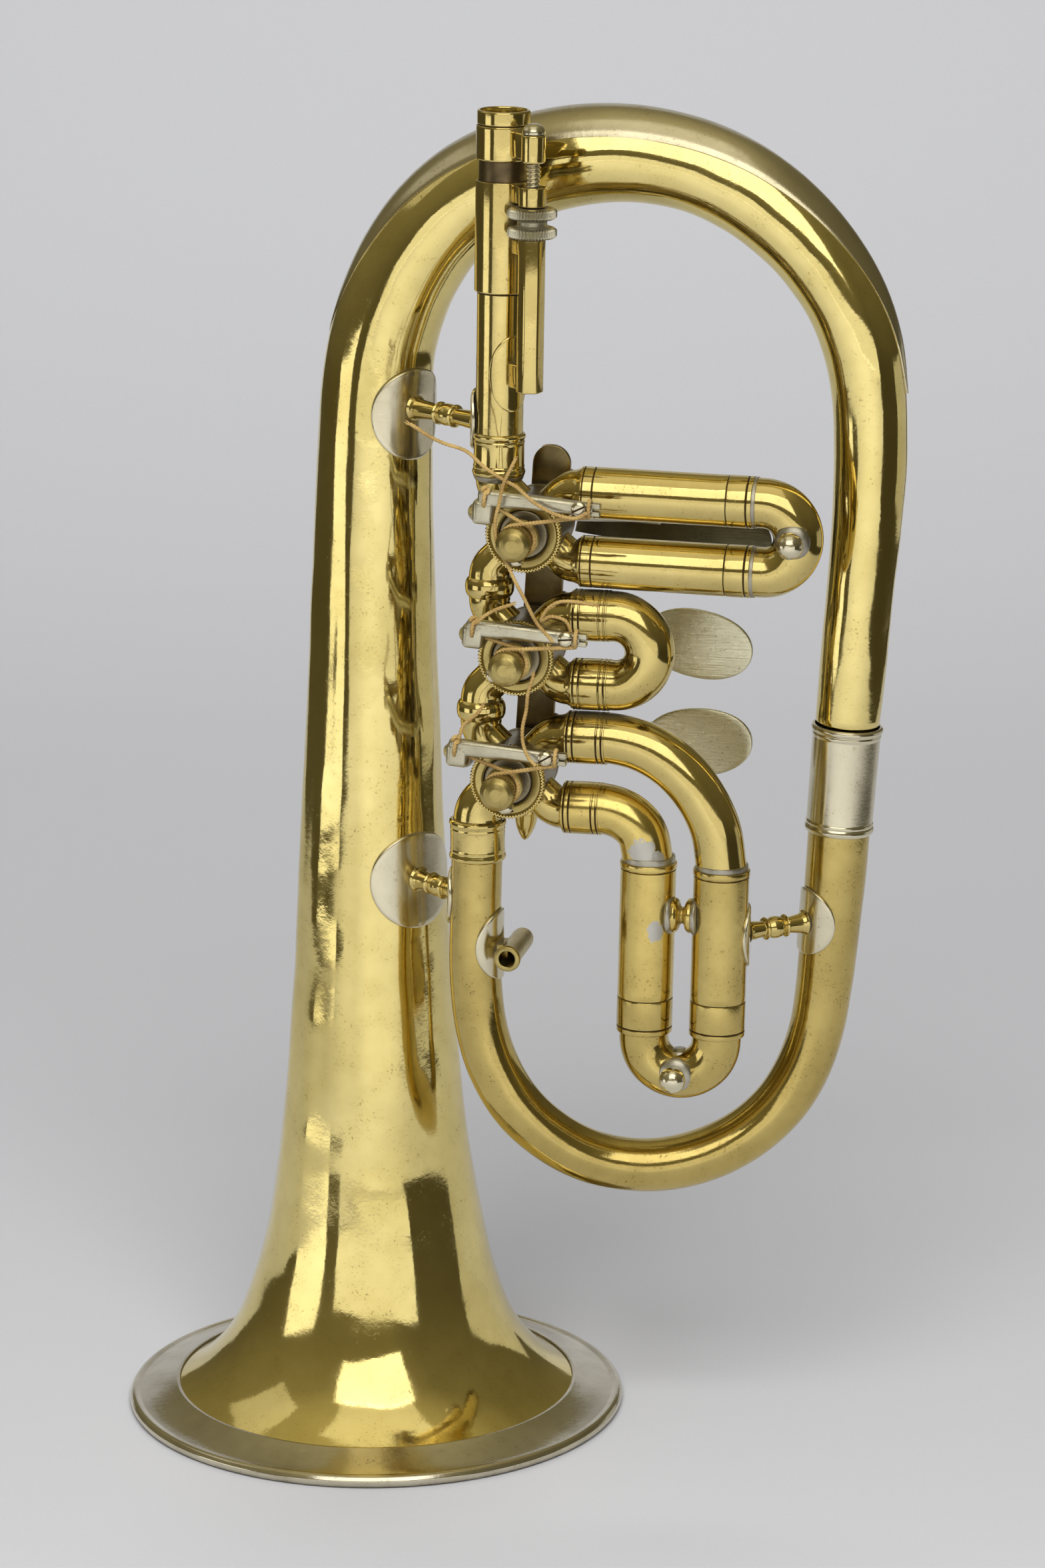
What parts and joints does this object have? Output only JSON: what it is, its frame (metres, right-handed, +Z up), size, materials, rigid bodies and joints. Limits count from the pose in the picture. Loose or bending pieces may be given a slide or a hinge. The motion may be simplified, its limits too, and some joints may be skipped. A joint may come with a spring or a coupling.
{
  "type": "rotary valve saxhorn",
  "caption": "Small upright brass horn standing on its bell: conical coil, string-action rotary valves with finger levers, pull slides and a screw-adjusted mouthpipe.",
  "frame": {"origin": "centre of the bounding box in plan, at the height of the bell rim it stands on", "axes": "+Z up along the bell from rim to top bow, +X from the bell towards the narrow branch, -Y the side with the valve hubs and mouthpipe screw"},
  "size_m": [0.2026, 0.13, 0.3449],
  "materials": {
    "polished_brass": "polished, aged, slightly mottled lacquerless brass",
    "dull_brass": "dull oxidised brass",
    "tarnished_brass": "dark brown tarnish with rubbed golden edges",
    "nickel_silver": "polished nickel silver, warm grey",
    "steel_wire": "dark spring wire",
    "twine": "waxed braided fishing line, tan"
  },
  "bodies": {
    "horn_body": {"bell_and_top_bow": "polished_brass", "bell_garland": "nickel_silver", "bottom_bow": "polished_brass", "bow_ferrule": "nickel_silver", "bow_guard": "nickel_silver", "exit_ferrule": "polished_brass", "first_slide_lower_leg": "polished_brass", "first_slide_upper_leg": "polished_brass", "lever_1_spring": "steel_wire", "lever_2_spring": "steel_wire", "lever_3_spring": "steel_wire", "lever_hinge_rod": "polished_brass", "lever_rail": "tarnished_brass", "link_ferrule_1_2": "polished_brass", "link_ferrule_2_3": "polished_brass", "lower_brace_bell_flange": "nickel_silver", "lower_brace_pipe_flange": "nickel_silver", "lower_brace_post": "polished_brass", "lyre_socket": "polished_brass", "mouthpipe": "polished_brass", "mouthpipe_ferrule": "polished_brass", "screw_guide_block": "polished_brass", "screw_sheath": "polished_brass", "second_valve_loop": "polished_brass", "slide_brace_bow_flange": "nickel_silver", "slide_brace_leg_flange": "nickel_silver", "slide_brace_post": "polished_brass", "slide_spacer": "polished_brass", "third_loop_inner_crook": "polished_brass", "third_loop_outer_crook": "polished_brass", "third_slide_inner_leg": "polished_brass", "third_slide_outer_leg": "polished_brass", "upper_brace_bell_flange": "nickel_silver", "upper_brace_pipe_flange": "nickel_silver", "upper_brace_post": "polished_brass", "valve_1_bearing_plate": "nickel_silver", "valve_1_casing": "polished_brass", "valve_1_lock_ring": "dull_brass", "valve_2_bearing_plate": "nickel_silver", "valve_2_casing": "polished_brass", "valve_2_lock_ring": "dull_brass", "valve_3_bearing_plate": "nickel_silver", "valve_3_casing": "polished_brass", "valve_3_lock_ring": "dull_brass"},
    "receiver": {"mouthpipe_receiver": "polished_brass", "adjusting_screw": "nickel_silver"},
    "thumb_nut": {"thumb_nut": "nickel_silver"},
    "rotor_1": {"valve_1_rotor": "dull_brass"},
    "lever_1": {"lever_1": "nickel_silver", "action_cord_1": "twine"},
    "rotor_2": {"valve_2_rotor": "dull_brass"},
    "lever_2": {"lever_2": "nickel_silver", "action_cord_2": "twine"},
    "rotor_3": {"valve_3_rotor": "dull_brass"},
    "lever_3": {"lever_3": "nickel_silver", "action_cord_3": "twine"},
    "first_slide": {"first_slide_bow": "polished_brass", "first_slide_knob": "nickel_silver"},
    "third_slide": {"third_slide_bow": "polished_brass", "third_slide_knob": "nickel_silver"}
  },
  "joints": [
    {"name": "thumb_nut_turn", "type": "hinge", "parent": "horn_body", "child": "thumb_nut", "pos_m": [0.01335, -0.036, 0.319], "axis": [0.0158, 0, 0.9999], "range_deg": [-2880, 1440]},
    {"name": "receiver_slide", "type": "slide", "parent": "horn_body", "child": "receiver", "axis": [0.0158, 0, 0.9999], "range_m": [-0.0036, 0.0072]},
    {"name": "lever_1_press", "type": "hinge", "parent": "horn_body", "child": "lever_1", "pos_m": [0.01196, -0.0125, 0.243], "axis": [-0.064, 0, -0.998], "range_deg": [0, 10.59], "deforming": ["action_cord_1"]},
    {"name": "valve_1_turn", "type": "hinge", "parent": "horn_body", "child": "rotor_1", "pos_m": [0.01196, -0.027, 0.243], "axis": [0, -1, 0], "range_deg": [0, 90]},
    {"name": "lever_2_press", "type": "hinge", "parent": "horn_body", "child": "lever_2", "pos_m": [0.01006, -0.0125, 0.212], "axis": [-0.064, 0, -0.998], "range_deg": [0, 10.59], "deforming": ["action_cord_2"]},
    {"name": "valve_2_turn", "type": "hinge", "parent": "horn_body", "child": "rotor_2", "pos_m": [0.01006, -0.027, 0.212], "axis": [0, -1, 0], "range_deg": [0, 90]},
    {"name": "lever_3_press", "type": "hinge", "parent": "horn_body", "child": "lever_3", "pos_m": [0.00796, -0.0125, 0.1806], "axis": [-0.064, 0, -0.998], "range_deg": [0, 10.59], "deforming": ["action_cord_3"]},
    {"name": "valve_3_turn", "type": "hinge", "parent": "horn_body", "child": "rotor_3", "pos_m": [0.00796, -0.027, 0.1806], "axis": [0, -1, 0], "range_deg": [0, 90]},
    {"name": "first_slide_pull", "type": "slide", "parent": "horn_body", "child": "first_slide", "axis": [0.9998, 0, -0.019], "range_m": [0, 0.022]},
    {"name": "third_slide_pull", "type": "slide", "parent": "horn_body", "child": "third_slide", "axis": [-0.0204, 0, -0.9998], "range_m": [0, 0.02]}
  ],
  "couplings": [
    {"joint": "thumb_nut_turn", "follows": "receiver_slide", "rad_per_m": -6981.3},
    {"joint": "valve_1_turn", "follows": "lever_1_press", "ratio": 8.5},
    {"joint": "valve_2_turn", "follows": "lever_2_press", "ratio": 8.5},
    {"joint": "valve_3_turn", "follows": "lever_3_press", "ratio": 8.5}
  ]
}
